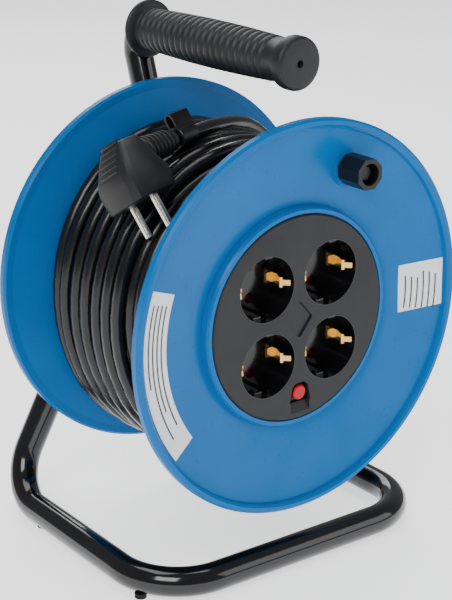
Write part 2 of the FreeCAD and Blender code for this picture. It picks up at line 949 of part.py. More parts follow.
def make_contact_carrier():
    """The insulating plate that holds the contact sleeves behind the sockets."""
    body = drum_body("contact_carrier")
    thick = CARRIER_BACK - CARRIER_FRONT
    padded(body, "plate", circle(0, 0, CARRIER_RADIUS), CARRIER_FRONT, thick)
    holes = []
    for x, z in socket_centres():
        for level in (-1, 1):
            holes += circle(x, z + level * size("pin_offset"), SLEEVE_OUTSIDE)
    for x, z in POSTS:
        holes += circle(x, z, 2)
    pocketed(body, "holes", holes, CARRIER_FRONT - 1, thick + 2)
    drop = -size("button_drop")
    gap = rectangle(-9.2, drop - 12, 9.2, drop + 8)
    pocketed(body, "breaker_gap", gap, CARRIER_FRONT - 1, thick + 2)
    keep(body)


COVER_FRONT = 53.2
COVER_BACK = 55.2


def make_back_cover():
    """The cover over the wiring, on three posts, with a hole for the cable."""
    body = drum_body("back_cover")
    padded(body, "plate", circle(0, 0, CARRIER_RADIUS), COVER_FRONT, COVER_BACK - COVER_FRONT)
    posts = []
    holes = circle(LEAD_X, LEAD_Z, 5.2)
    for x, z in POSTS:
        posts += circle(x, z, 3.8)
        holes += circle(x, z, 1.7)
    padded(body, "posts", posts, CARRIER_BACK, COVER_FRONT - CARRIER_BACK + 1)
    pocketed(body, "holes", holes, CARRIER_BACK - 1, 24)
    keep(body)


def make_panel_screws():
    """Three screws from the cover through the carrier into the panel's posts."""
    body = drum_body("panel_screws")
    shanks = []
    heads = []
    for x, z in POSTS:
        shanks += circle(x, z, SCREW_PILOT)
        heads += circle(x, z, 3)
    tip = 17
    padded(body, "shanks", shanks, tip, COVER_BACK + 1 - tip)
    padded(body, "heads", heads, COVER_BACK, 2)
    keep(body)


BREAKER_FRONT = 11
BREAKER_BACK = 44


def make_breaker_body():
    """The thermal cut-out behind the button, with a well that the button slides in."""
    body = drum_body("breaker_body")
    drop = -size("button_drop")
    case = rectangle(-8.6, drop - 8.6, 8.6, drop + 7.2, 1)
    padded(body, "case", case, BREAKER_FRONT, BREAKER_BACK - BREAKER_FRONT)
    well = circle(0, drop, size("button_radius") + size("body_gap"))
    pocketed(body, "button_well", well, BREAKER_FRONT - 1, 12)
    keep(body)


def make_reset_button():
    body = drum_body("reset_button", depth="Sizes.panel_depth", z="-Sizes.button_drop")
    radius = size("button_radius")
    end = BREAKER_FRONT + 7 - size("panel_depth")
    turned(body, "button", [(0, 0), (radius - 0.7, 0), (radius, 0.7), (radius, end), (0, end)])
    keep(body)


# ---------------------------------------------------------------- crank knob
KNOB_HOLLOW = 7
KNOB_SIDES = 8
NUT_HEIGHT = 3


def crank_body(label):
    """A body on the knob's own axis, with depths counted from the front rim."""
    return drum_body(label, x="Sizes.crank_x", z="Sizes.crank_rise")


def make_crank_knob():
    """The eight-sided knob that the drum is wound by, hollow at its outer end."""
    body = crank_body("crank_knob")
    length = size("knob_length")
    front = KNOB_BASE_DEPTH - length
    half_side = math.pi / KNOB_SIDES
    corners = [2 * half_side * i + half_side for i in range(KNOB_SIDES)]
    wide = size("knob_radius") / math.cos(half_side)
    outline = [(wide * math.cos(a), wide * math.sin(a)) for a in corners]
    padded(body, "grip", loop_of(outline, 1.2), front, "Sizes.knob_length")
    pocketed(body, "hollow", circle(0, 0, 6.3), front - 1, KNOB_HOLLOW + 1)
    pocketed(body, "bore", circle(0, 0, PIN_SHANK + size("running_gap")), front, length + 1)
    keep(body)


def make_crank_pin():
    """The shouldered pin that the knob turns on, screwed through the flange."""
    body = crank_body("crank_pin")
    web_front = KNOB_BASE_DEPTH - size("knob_length") + KNOB_HOLLOW
    head_back = web_front - size("body_gap")
    tip = crank_seat() + NUT_HEIGHT + 0.4
    points = [
        (0, head_back - 2.6),
        (3.8, head_back - 2.6),
        (5, head_back - 1.4),
        (5, head_back),
        (PIN_SHANK, head_back),
        (PIN_SHANK, tip),
        (0, tip),
    ]
    turned(body, "pin", points)
    keep(body)


def make_crank_nut():
    """The nut that holds the pin, behind the flange."""
    body = crank_body("crank_nut")
    start = crank_seat()
    padded(body, "nut", hexagon(8.5), start, NUT_HEIGHT)
    pocketed(body, "nut_bore", circle(0, 0, PIN_SHANK), start - 1, NUT_HEIGHT + 2)
    keep(body)


# ---------------------------------------------------------------- labels
LABEL_THICKNESS = 0.15


def label_shell(name, inner, outer, first, last):
    """A thin patch on the front flange's cone, between two radii and two angles."""
    body = drum_body(name)
    body.Placement.Rotation = Rotation(Vector(0, -1, 0), first)
    half = [
        (inner, face_depth(inner)),
        (outer, face_depth(outer)),
        (outer, face_depth(outer) - LABEL_THICKNESS),
        (inner, face_depth(inner) - LABEL_THICKNESS),
    ]
    patch = turned(body, name + "_patch", half, degrees=last - first)
    patch.Reversed = True
    doc.recompute()
    return body


def make_rating_label():
    """A curved blank sticker on the left of the front flange."""
    keep(label_shell("rating_label", 93.5, 110.5, 160, 216))


def make_side_label():
    """A blank rectangular sticker on the right of the front flange."""
    shell = label_shell("side_label_shell", 78, 111.3, -14, 14)
    block = doc.addObject("Part::Box", "side_label_block")
    block.Length = 31
    block.Width = 12
    block.Height = 30
    block.Placement = Placement(drum_place(79.4, 0, -16), drum_rotation())
    made = doc.addObject("Part::MultiCommon", "side_label")
    made.Label = "side_label"
    made.Shapes = [shell, block]
    doc.recompute()
    keep(made)


# ---------------------------------------------------------------- cable
LAYERS = [(-9, -9, 16.5), (-5, -7, 57), (0, 0, 93)]
LAYERS_BACK = 134


def make_winding():
    """The closed outer shape of the loose coil: sagging ovals that get larger towards the back."""
    body = body_at("cable_winding", y="Sizes.front_plane", z="Sizes.hub_height")
    wide = size("coil_half_width")
    high = size("coil_half_height")
    middle = Vector(0, -size("coil_sag"), 0)
    ends = [start for _, _, start in LAYERS[1:]] + [LAYERS_BACK]
    for i, (wider, higher, start) in enumerate(LAYERS):
        top = middle + Vector(0, high + higher, 0)
        side = middle + Vector(wide + wider, 0, 0)
        oval = [Part.Ellipse(top, side, middle)]
        padded(body, f"layers_{i + 1}", oval, start, ends[i] - start)
    pocketed(body, "barrel_room", circle(0, 0, size("barrel_radius")), 0, LAYERS_BACK + 1)
    keep(body)


def gland_cylinder(name, radius, start, length):
    """A cylinder on the gland's axis, from a distance to the drum's axis outwards."""
    made = doc.addObject("Part::Cylinder", name)
    made.Radius = radius
    made.Height = length
    outwards = drum_rotation().multiply(Rotation(Vector(0, 1, 0), 90))
    made.Placement = Placement(drum_place(start, GLAND_DEPTH, 0), outwards)
    return made


def make_cable_gland():
    """The rubber grommet in the barrel wall that grips the cable's inner end."""
    inside = size("barrel_radius") - 9
    ring = gland_cylinder("gland_ring", GLAND_RADIUS, inside, 10)
    collar = gland_cylinder("gland_collar", GLAND_RADIUS + 2, inside, 3)
    bore = gland_cylinder("gland_bore", size("cable_radius"), inside - 2, 14)
    keep(cut_from("cable_gland", fused("gland_solid", [ring, collar]), bore))


LEAD_X = 38
LEAD_Z = -14


def make_inner_lead():
    """The cable's inner end, from the gland to the wiring behind the sockets."""
    start = size("barrel_radius") + 1
    route = [
        (start, GLAND_DEPTH, 0),
        (start - 20, GLAND_DEPTH, 0),
        (LEAD_X, 95, LEAD_Z + 10),
        (LEAD_X, 74, LEAD_Z),
        (LEAD_X, NEUTRAL_BAR + 2, LEAD_Z),
    ]
    path = path_object("inner_lead_path", [drum_place(*point) for point in route], [14, 24, 16])
    keep(swept("inner_lead", path, "Sizes.cable_radius"))


# ---------------------------------------------------------------- plug
# The plug's own frame: pins point along PLUG_PINS, and the cable leaves along PLUG_CABLE.
PLUG_PINS = Vector(0.220, -0.517, -0.827).normalize()
PLUG_CABLE = Vector(0.962, 0.255, 0.097).normalize()


def plug_rotation():
    return Rotation(PLUG_CABLE, Vector(), PLUG_PINS, "ZXY")


def plug_point(x, y, z):
    """A point given in the plug's frame: x along the cable, y across the pins, z along the pins."""
    base = Vector(size("plug_x"), size("plug_y"), size("plug_z"))
    return base + plug_rotation().multVec(Vector(x, y, z))


def plug_body_at(label):
    body = body_at(label, x="Sizes.plug_x", y="Sizes.plug_y", z="Sizes.plug_z")
    body.Placement.Rotation = plug_rotation()
    return body


def on_cable(name, kind, start):
    """A Part object of some kind on the cable's axis, from a distance along the plug."""
    made = doc.addObject(kind, name)
    place = plug_point(start, 0, -size("cable_behind_face"))
    made.Placement = Placement(place, Rotation(Vector(0, 0, 1), PLUG_CABLE))
    return made


PLUG_HALF = 17.3
PLUG_BACK = 19.5
PIN_LENGTH = 19
PIN_RADIUS = 2.4
PIN_SEAT = 8


def make_plug_body():
    """The angled plug: a round face with flat earth sides, and a back that slopes to the cable."""
    body = plug_body_at("plug_body")
    long = size("plug_length")
    side_points = [
        (-16.5, 0),
        (17.5, 0),
        (PLUG_BACK, -8),
        (PLUG_BACK, -long + 4),
        (14, -long),
        (0, -long),
        (-16.5, -14),
    ]
    edges = loop_of(side_points, [1, 1, 3, 5, 4, 8, 5])
    pad = body.newObject("PartDesign::Pad", "side_shape")
    pad.Profile = sketch_on(body, "side_outline", "XZ", edges, -PLUG_HALF)
    pad.Length = 2 * PLUG_HALF
    doc.recompute()
    edge = PLUG_HALF + 3
    across = [(-edge, 4), (-edge, -long - 4), (-10, -long - 4), (-PLUG_HALF, -10), (-PLUG_HALF, 4)]
    sides = loop_of(across) + loop_of([(-y, z) for y, z in across])
    cut_sideways(body, "taper", sides, -30, 60)
    pocketed(body, "pin_seats", pin_outlines(), 1, PIN_SEAT + 1, plane="XY")
    keep(body)


def pin_outlines():
    offset = size("pin_offset")
    return circle(0, offset, PIN_RADIUS) + circle(0, -offset, PIN_RADIUS)


def make_plug_pins():
    body = plug_body_at("plug_pins")
    padded(body, "pins", pin_outlines(), -PIN_SEAT, PIN_LENGTH + PIN_SEAT, plane="XY")
    keep(body)


BOOT_LENGTH = 30
BOOT_WIDE = 8.2
BOOT_NARROW = 6
BOOT_RIBS = 6


def make_plug_boot():
    """The ribbed strain relief where the cable leaves the plug."""
    core = on_cable("boot_core", "Part::Cone", PLUG_BACK)
    core.Radius1 = BOOT_WIDE
    core.Radius2 = BOOT_NARROW
    core.Height = BOOT_LENGTH
    pieces = [core]
    for i in range(BOOT_RIBS):
        start = 4 + 3.6 * i
        rib = on_cable(f"boot_rib_{i + 1}", "Part::Cylinder", PLUG_BACK + start)
        rib.Radius = BOOT_WIDE + 0.8 - start * (BOOT_WIDE - BOOT_NARROW) / BOOT_LENGTH
        rib.Height = 2
        pieces.append(rib)
    hole = on_cable("boot_bore", "Part::Cylinder", PLUG_BACK - 1)
    hole.setExpression("Radius", "Sizes.cable_radius")
    hole.Height = BOOT_LENGTH + 5
    keep(cut_from("plug_boot", fused("boot_solid", pieces), hole))


CLIP_START = 53
CLIP_LENGTH = 14


def hook_box(name, start, half_width, above, length, height):
    """A block over the clip's collar, given in the plug's frame."""
    made = doc.addObject("Part::Box", name)
    made.Length = length
    made.Width = 2 * half_width
    made.Height = height
    corner = plug_point(start, -half_width, -size("cable_behind_face") - above - height)
    made.Placement = Placement(corner, plug_rotation())
    return made


def make_cable_clip():
    """The clip that parks the plug: a collar on the cable with a tall open hook on top."""
    collar = on_cable("clip_collar", "Part::Cylinder", CLIP_START)
    collar.Radius = 6.4
    collar.Height = CLIP_LENGTH
    outside = hook_box("clip_hook_outside", CLIP_START + 2, 3.4, 4.6, 15, 11)
    inside = hook_box("clip_hook_inside", CLIP_START, 2.2, 5.8, 20, 8.6)
    hook = cut_from("clip_hook", outside, inside)
    hole = on_cable("clip_bore", "Part::Cylinder", CLIP_START - 1)
    hole.setExpression("Radius", "Sizes.cable_radius")
    hole.Height = CLIP_LENGTH + 6
    keep(cut_from("cable_clip", fused("clip_solid", [collar, hook]), hole))


# ---------------------------------------------------------------- loose cable
def tail_points():
    """The loose end of the cable: out of the plug, over the top of the coil and down behind it."""
    axis = -size("cable_behind_face")
    start = plug_point(PLUG_BACK, 0, axis)
    clip_end = plug_point(CLIP_START + CLIP_LENGTH, 0, axis)
    return [
        (start.x, start.y, start.z),
        (clip_end.x, clip_end.y, clip_end.z),
        (8, 12, 256.5),
        (38, 22, 249),
        (65, 29, 228),
        (84, 34, 200),
        (91, 37, 174),
    ]


def arc_radii(points):
    """The largest safe arc at each corner: 0.45 of the shorter run over tan(half the turn)."""
    found = []
    for a, b, c in zip(points, points[1:], points[2:]):
        back = Vector(*b) - Vector(*a)
        ahead = Vector(*c) - Vector(*b)
        half = back.getAngle(ahead) / 2
        found.append(0.45 * min(back.Length, ahead.Length) / math.tan(half))
    return found


def make_cable_tail():
    points = tail_points()
    radii = arc_radii(points)
    print("cable tail points", [tuple(round(v, 1) for v in point) for point in points])
    print("cable tail bend radii", [round(r) for r in radii])
    path = path_object("cable_tail_path", points, radii)
    keep(swept("cable_tail", path, "Sizes.cable_radius"))


# ---------------------------------------------------------------- build
make_base_tube()
make_handle_tube()
make_tube_caps()
make_grip()
make_hub_plate()
make_axle()
make_axle_washer()
make_axle_screw()
make_foot_pads()
make_front_flange()
make_drum_barrel()
make_rear_flange()
make_drum_screws()
make_hub_bush()
make_socket_panel()
make_centre_badge()
for index, (centre_x, centre_z) in enumerate(socket_centres(), start=1):
    make_socket_cup(index, centre_x, centre_z)
    make_earth_clip(index, centre_x, centre_z, -SOCKETS[index - 1][0])
    make_shutter(index, centre_x, centre_z)
make_contact_bar("live_bar", -1, 1, LIVE_BAR)
make_contact_bar("neutral_bar", 1, -1, NEUTRAL_BAR)
make_earth_bar()
make_contact_carrier()
make_back_cover()
make_panel_screws()
make_breaker_body()
make_reset_button()
make_crank_knob()
make_crank_pin()
make_crank_nut()
make_rating_label()
make_side_label()
make_winding()
make_cable_gland()
make_inner_lead()
make_plug_body()
make_plug_pins()
make_plug_boot()
make_cable_clip()
make_cable_tail()
doc.recompute()

# ---------------------------------------------------------------- check and write
for made in doc.Objects:
    if "Invalid" in made.State or "Error" in made.State:
        raise RuntimeError(f"{made.Label} failed: {made.State}")
os.makedirs("parts", exist_ok=True)
whole = FreeCAD.BoundBox()
for part in parts:
    shape = part.Shape
    if shape.isNull() or not shape.isValid():
        raise RuntimeError(f"{part.Label} has no valid shape")
    if not part.Label.startswith(("cable_", "plug_")):
        whole.add(shape.BoundBox)
    print(f"{part.Label}: {len(shape.Solids)} solids, {shape.Volume:.0f} cubic mm")
    shape.exportStep(f"parts/{part.Label}.step")
print("extent without the cable:", whole)
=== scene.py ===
"""The extension cord reel in Blender: materials, cable, detailed pieces, floor, lights and camera."""
import math

import bmesh
import bpy
from mathutils import Euler, Matrix, Vector


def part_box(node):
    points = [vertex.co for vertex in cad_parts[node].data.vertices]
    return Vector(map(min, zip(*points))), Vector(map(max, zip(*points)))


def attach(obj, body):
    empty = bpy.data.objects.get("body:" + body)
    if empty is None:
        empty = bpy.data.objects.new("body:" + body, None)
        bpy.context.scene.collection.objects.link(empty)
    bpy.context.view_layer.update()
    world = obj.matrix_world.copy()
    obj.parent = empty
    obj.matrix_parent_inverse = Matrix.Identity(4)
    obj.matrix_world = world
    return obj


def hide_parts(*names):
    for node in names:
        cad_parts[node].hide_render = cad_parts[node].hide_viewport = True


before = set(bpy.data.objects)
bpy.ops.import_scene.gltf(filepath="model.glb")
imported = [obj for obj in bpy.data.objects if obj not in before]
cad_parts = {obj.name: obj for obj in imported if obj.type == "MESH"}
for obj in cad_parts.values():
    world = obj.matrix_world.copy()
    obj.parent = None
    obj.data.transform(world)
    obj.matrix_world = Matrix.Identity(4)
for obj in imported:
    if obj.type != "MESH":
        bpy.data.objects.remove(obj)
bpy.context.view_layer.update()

# ---------------------------------------------------------------- values from the frame
front_low, front_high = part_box("front_flange")
FRONT = front_low.y
HUB = (front_low.z + front_high.z) / 2
MM = 0.001


def at_depth(x, depth, z):
    """A point from millimetres: across, behind the front rim, and above the hub."""
    return Vector((x * MM, FRONT + depth * MM, HUB + z * MM))


# ---------------------------------------------------------------- camera
CAMERA_PLACE = (-0.5489, -0.7294, 0.4576)
CAMERA_AZIMUTH = -36.46
CAMERA_ELEVATION = 21.57
CAMERA_ROLL = 0.4
CAMERA_LENS = 93.91
CAMERA_SENSOR = 36
CAMERA_SHIFT = (0.0342, 0.1247)


def make_camera():
    """Makes the scene's camera, from its place, its turn and its lens."""
    data = bpy.data.cameras.new("camera")
    data.lens = CAMERA_LENS
    data.sensor_width = CAMERA_SENSOR
    data.shift_x, data.shift_y = CAMERA_SHIFT
    camera = bpy.data.objects.new("camera", data)
    bpy.context.scene.collection.objects.link(camera)
    camera.location = CAMERA_PLACE
    turn = Euler((math.radians(90 - CAMERA_ELEVATION), 0, math.radians(CAMERA_AZIMUTH))).to_matrix()
    roll = Matrix.Rotation(math.radians(CAMERA_ROLL), 3, "Z")
    camera.rotation_mode = "QUATERNION"
    camera.rotation_quaternion = (turn @ roll).to_quaternion()
    bpy.context.scene.camera = camera


make_camera()


# ---------------------------------------------------------------- cable
CABLE_DIAMETER = 0.0085
POINTS_PER_TURN = 16
# A quadratic spline on a ring of 16 control points runs at 0.981 of the ring's radius.
CONTROL_SCALE = 1 / 0.981
QUADRATIC_ORDER = 3
STEPS_PER_POINT = 3
CABLE_ROUNDNESS = 3
# Turns wound so far, depth, and radius of the cable's middle at the sides, top and bottom, in mm.
NEAT_LAYERS = [
    (0.07, 121, 71.5, 71.5, 71.5),
    (0.35, 120, 69.6, 69.6, 69.6),
    (1.0, 116, 69.4, 69.4, 69.4),
    (12.0, 20.3, 69.4, 69.4, 69.4),
    (12.5, 20.3, 76.4, 76.4, 76.4),
    (25.3, 131, 76.4, 76.4, 77),
    (25.8, 131, 83.2, 83.6, 86),
    (38.6, 21, 83, 83.4, 86),
]
LOOSE_TURNS = [
    (38.75, 34, 86, 90, 93),
    (39.0, 58, 88, 91, 96),
    (39.5, 63, 88.2, 91, 97.5),
    (40.5, 73, 88.6, 92, 100),
    (41.5, 84, 88.2, 91.5, 102),
    (42.5, 95, 88.8, 93, 101),
    (43.5, 106, 88.4, 92.5, 103),
    (44.5, 118, 88.8, 93, 102),
    (45.3, 129, 87, 92.5, 103),
    (46.0, 122, 88.5, 93.5, 103),
]
# The loose end, in metres: up the right side, over the top and into the plug.
TAIL = [
    (0.091, 0.037, 0.174),
    (0.084, 0.034, 0.2),
    (0.065, 0.029, 0.228),
    (0.038, 0.022, 0.249),
    (0.008, 0.0095, 0.254),
    (-0.024, -0.0023, 0.2542),
    (-0.0682, -0.014, 0.2497),
]
GLAND_EXIT = (0.0659, 0.0369, 0.1588)
GLAND_LEAD = [
    (0.058, 0.0369, 0.1585),
    GLAND_EXIT,
    (0.0705, 0.0369, 0.1612),
    (0.0722, 0.0369, 0.1675),
    (0.072, 0.0369, 0.175),
]


def between(stations, turns):
    """Depth and radii at a number of turns, in proportion between the stations on either side."""
    for a, b in zip(stations, stations[1:]):
        if turns <= b[0]:
            share = (turns - a[0]) / (b[0] - a[0])
            return [u + (v - u) * share for u, v in zip(a[1:], b[1:])]
    return list(stations[-1][1:])


def coil_points():
    """The control points of every turn, from the gland to the start of the loose end."""
    stations = NEAT_LAYERS + LOOSE_TURNS
    first, last = stations[0][0], stations[-1][0]
    count = round((last - first) * POINTS_PER_TURN)
    points = []
    for i in range(count):
        turns = first + (last - first) * i / count
        depth, side, top, bottom = between(stations, turns)
        angle = 2 * math.pi * turns
        lift = math.sin(angle)
        reach = side + ((top if lift > 0 else bottom) - side) * lift * lift
        reach *= CONTROL_SCALE
        points.append(at_depth(reach * math.cos(angle), depth, reach * lift))
    return points


def spline_object(name, points, radius):
    """A round tube along one smooth open NURBS spline."""
    data = bpy.data.curves.new(name, "CURVE")
    data.dimensions = "3D"
    data.resolution_u = STEPS_PER_POINT
    data.bevel_depth = radius
    data.bevel_resolution = CABLE_ROUNDNESS
    data.use_fill_caps = True
    spline = data.splines.new("NURBS")
    spline.points.add(len(points) - 1)
    for control, point in zip(spline.points, points):
        control.co = (*point, 1)
    spline.order_u = QUADRATIC_ORDER
    spline.use_endpoint_u = True
    made = bpy.data.objects.new(name, data)
    bpy.context.scene.collection.objects.link(made)
    return made


cable = spline_object("cable", [*GLAND_LEAD, *coil_points(), *TAIL], CABLE_DIAMETER / 2)


# ---------------------------------------------------------------- materials
# Noise scales are per metre of the object, and grain depths are in metres.
TINT_SPAN = (0.3, 0.7)
MOTTLE_SCALE = 45
GLOSS_SCALE = 160
MOULD_GRAIN_STRENGTH = 0.6
COAT_ROUGHNESS = 0.12
TARNISH_SCALE = 120
DRAWING_SCALE = 900
METAL_GRAIN_SCALE = 1500
METAL_GRAIN_STRENGTH = 0.3
METAL_GRAIN_DEPTH = 0.00003
STREAKS = (1, 6, 1)


def new_material(name):
    """A material with its node tree and its surface shader."""
    material = bpy.data.materials.new(name)
    material.use_nodes = True
    tree = material.node_tree
    return material, tree, tree.nodes["Principled BSDF"]


def noise(tree, scale, detail=2.0, stretch=None):
    """Object-space noise; stretch makes it streaky along an axis."""
    coordinates = tree.nodes.new("ShaderNodeTexCoord")
    texture = tree.nodes.new("ShaderNodeTexNoise")
    texture.inputs["Scale"].default_value = scale
    texture.inputs["Detail"].default_value = detail
    source = coordinates.outputs["Object"]
    if stretch:
        mapping = tree.nodes.new("ShaderNodeMapping")
        mapping.inputs["Scale"].default_value = stretch
        tree.links.new(source, mapping.inputs["Vector"])
        source = mapping.outputs["Vector"]
    tree.links.new(source, texture.inputs["Vector"])
    return texture.outputs["Fac"]


def tint(tree, shader, factor, dark, light):
    """The base colour wanders between two tints."""
    ramp = tree.nodes.new("ShaderNodeValToRGB")
    for stop, position, colour in zip(ramp.color_ramp.elements, TINT_SPAN, (dark, light)):
        stop.position = position
        stop.color = (*colour, 1)
    tree.links.new(factor, ramp.inputs["Fac"])
    tree.links.new(ramp.outputs["Color"], shader.inputs["Base Color"])


def vary_roughness(tree, shader, factor, low, high):
    """The roughness wanders between two values."""
    spread = tree.nodes.new("ShaderNodeMapRange")
    spread.inputs["To Min"].default_value = low
    spread.inputs["To Max"].default_value = high
    tree.links.new(factor, spread.inputs["Value"])
    tree.links.new(spread.outputs["Result"], shader.inputs["Roughness"])


def grain(tree, shader, factor, strength, distance):
    """A fine surface grain, as a bump."""
    bump = tree.nodes.new("ShaderNodeBump")
    bump.inputs["Strength"].default_value = strength
    bump.inputs["Distance"].default_value = distance
    tree.links.new(factor, bump.inputs["Height"])
    tree.links.new(bump.outputs["Normal"], shader.inputs["Normal"])


def moulded(name, dark, light, rough, grain_scale, grain_depth, coat=0.0, shine=0.3):
    """A moulded plastic or rubber: slight mottling, uneven gloss and a fine surface grain."""
    material, tree, shader = new_material(name)
    tint(tree, shader, noise(tree, MOTTLE_SCALE), dark, light)
    vary_roughness(tree, shader, noise(tree, GLOSS_SCALE, 4), *rough)
    grain(tree, shader, noise(tree, grain_scale, 3), MOULD_GRAIN_STRENGTH, grain_depth)
    shader.inputs["Specular IOR Level"].default_value = shine
    shader.inputs["Coat Weight"].default_value = coat
    shader.inputs["Coat Roughness"].default_value = COAT_ROUGHNESS
    return material


def metal(name, dark, light, rough, stretch=None):
    """A plated or brass metal with faint drawing marks."""
    material, tree, shader = new_material(name)
    shader.inputs["Metallic"].default_value = 1.0
    tint(tree, shader, noise(tree, TARNISH_SCALE, 3), dark, light)
    vary_roughness(tree, shader, noise(tree, DRAWING_SCALE, 4, stretch), *rough)
    fine_noise = noise(tree, METAL_GRAIN_SCALE, 2, stretch)
    grain(tree, shader, fine_noise, METAL_GRAIN_STRENGTH, METAL_GRAIN_DEPTH)
    return material


BLUE = moulded(
    "blue_plastic", (0.0, 0.110, 0.345), (0.0, 0.119, 0.37), (0.24, 0.34), 700, 0.00003, shine=0.15
)
BLACK_PAINT = moulded(
    "black_paint", (0.003, 0.003, 0.004), (0.005, 0.005, 0.006), (0.08, 0.16), 260, 0.00004, coat=0.5
)
PANEL = moulded(
    "panel_plastic", (0.012, 0.0125, 0.014), (0.018, 0.0185, 0.021), (0.5, 0.62), 2600, 0.00008
)
BADGE = moulded(
    "badge_plastic", (0.006, 0.006, 0.007), (0.011, 0.011, 0.012), (0.35, 0.45), 1800, 0.00005
)
SOCKET_BLACK = moulded(
    "socket_plastic", (0.003, 0.003, 0.004), (0.005, 0.005, 0.006), (0.1, 0.18), 900, 0.00002, coat=0.3
)
RED = moulded("red_plastic", (0.36, 0.001, 0.003), (0.44, 0.002, 0.004), (0.18, 0.28), 900, 0.00002)
GRIP_RUBBER = moulded(
    "grip_rubber", (0.010, 0.0105, 0.012), (0.017, 0.0175, 0.019), (0.4, 0.52), 1800, 0.00006
)
FOOT_RUBBER = moulded(
    "foot_rubber", (0.006, 0.006, 0.006), (0.011, 0.011, 0.011), (0.6, 0.8), 1500, 0.00008
)
BLACK_PLASTIC = moulded(
    "black_plastic", (0.005, 0.005, 0.006), (0.009, 0.009, 0.010), (0.26, 0.4), 1600, 0.00005
)
PLUG_RUBBER = moulded(
    "plug_rubber", (0.008, 0.008, 0.009), (0.014, 0.014, 0.015), (0.36, 0.5), 2200, 0.00008
)
CABLE_PVC = moulded(
    "cable_pvc", (0.003, 0.003, 0.004), (0.006, 0.006, 0.007), (0.2, 0.32), 500, 0.00005, coat=0.15
)
NYLON = moulded("nylon", (0.52, 0.50, 0.46), (0.62, 0.60, 0.56), (0.4, 0.5), 1200, 0.00004)
CARRIER = moulded("carrier_plastic", (0.38, 0.37, 0.34), (0.46, 0.45, 0.41), (0.4, 0.5), 1200, 0.00004)
LABEL = moulded("label_film", (0.70, 0.73, 0.77), (0.78, 0.81, 0.84), (0.3, 0.4), 900, 0.00002)
PRINT = moulded("label_print", (0.03, 0.03, 0.035), (0.06, 0.06, 0.065), (0.4, 0.5), 900, 0.00002)
ZINC = metal("zinc_steel", (0.42, 0.43, 0.45), (0.54, 0.55, 0.56), (0.25, 0.42))
BRASS = metal("brass", (0.62, 0.37, 0.10), (0.76, 0.50, 0.18), (0.18, 0.32), STREAKS)
NICKEL = metal("nickel", (0.58, 0.54, 0.47), (0.74, 0.70, 0.63), (0.14, 0.26), STREAKS)

NODE_MATERIALS = {
    "base_tube": BLACK_PAINT,
    "handle_tube": BLACK_PAINT,
    "hub_plate": BLACK_PAINT,
    "tube_end_caps": BLACK_PLASTIC,
    "handle_grip": GRIP_RUBBER,
    "foot_pads": FOOT_RUBBER,
    "axle": ZINC,
    "axle_washer": ZINC,
    "axle_screw": ZINC,
    "front_flange": BLUE,
    "drum_barrel": BLUE,
    "rear_flange": BLUE,
    "drum_screws": ZINC,
    "hub_bush": NYLON,
    "socket_panel": PANEL,
    "centre_badge": BADGE,
    "live_bar": BRASS,
    "neutral_bar": BRASS,
    "earth_bar": BRASS,
    "contact_carrier": CARRIER,
    "back_cover": BLACK_PLASTIC,
    "panel_screws": ZINC,
    "breaker_body": BLACK_PLASTIC,
    "reset_button": RED,
    "crank_knob": BLACK_PLASTIC,
    "crank_pin": BLACK_PLASTIC,
    "crank_nut": ZINC,
    "rating_label": LABEL,
    "side_label": LABEL,
    "cable_gland": FOOT_RUBBER,
    "inner_lead": CABLE_PVC,
    "plug_body": PLUG_RUBBER,
    "plug_pins": NICKEL,
    "plug_boot": PLUG_RUBBER,
    "cable_clip": BLACK_PLASTIC,
    "cable_winding": CABLE_PVC,
    "cable_tail": CABLE_PVC,
}
SOCKETS = 4
for number in range(1, SOCKETS + 1):
    NODE_MATERIALS[f"socket_cup_{number}"] = SOCKET_BLACK
    NODE_MATERIALS[f"earth_clip_{number}"] = BRASS
    NODE_MATERIALS[f"shutter_{number}"] = RED


def dress(obj, material):
    """Gives every slot of an object one material."""
    if not obj.material_slots:
        obj.data.materials.append(material)
    for place in obj.material_slots:
        place.link = "OBJECT"
        place.material = material


for node, material in NODE_MATERIALS.items():
    dress(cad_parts[node], material)


# ---------------------------------------------------------------- ways of making a piece
SHARP_ANGLE = 35
LATHE_SEGMENTS = 72


def add_mesh(name, made, material, sharp_angle=SHARP_ANGLE):
    """Makes an object of a bmesh: smooth, with an edge kept sharp where faces meet steeply."""
    mesh = bpy.data.meshes.new(name)
    bmesh.ops.recalc_face_normals(made, faces=made.faces)
    made.to_mesh(mesh)
    made.free()
    mesh.shade_smooth()
    mesh.set_sharp_from_angle(angle=math.radians(sharp_angle))
    mesh.materials.append(material)
    obj = bpy.data.objects.new(name, mesh)
    bpy.context.scene.collection.objects.link(obj)
    return obj


def loft(rings, closed=False):
    """A bmesh skin over rings of points; capped at both ends, or closed round like a ring."""
    made = bmesh.new()
    rows = [[made.verts.new(point) for point in ring] for ring in rings]
    pairs = list(zip(rows, rows[1:]))
    if closed:
        pairs.append((rows[-1], rows[0]))
    for low, high in pairs:
        for i in range(len(low)):
            k = (i + 1) % len(low)
            made.faces.new((low[i], low[k], high[k], high[i]))
    if not closed:
        made.faces.new(rows[0])
        made.faces.new(rows[-1])
    return made


def lathe(name, outline, place, turn, material, segments=LATHE_SEGMENTS):
    """A turned piece: a closed outline of (radius, height) in mm, spun about the local Z axis."""
    rings = []
    for radius, height in outline:
        ring = []
        for i in range(segments):
            angle = 2 * math.pi * i / segments
            local = Vector((radius * math.cos(angle), radius * math.sin(angle), height)) * MM
            ring.append(place + turn @ local)
        rings.append(ring)
    return add_mesh(name, loft(rings, closed=True), material)


# ---------------------------------------------------------------- grip
# A cap in front, ribs that swell in the middle and a flared collar at the back.
GRIP_RIBS = 21
GRIP_FIRST_RIB = 21
GRIP_STRETCH = 121
GRIP_BORE = 9.05
GRIP_CREST = 12.7
GRIP_SWELL = 1.25
CAP_INSIDE = 4.2
CAP_HOLE = 1.9
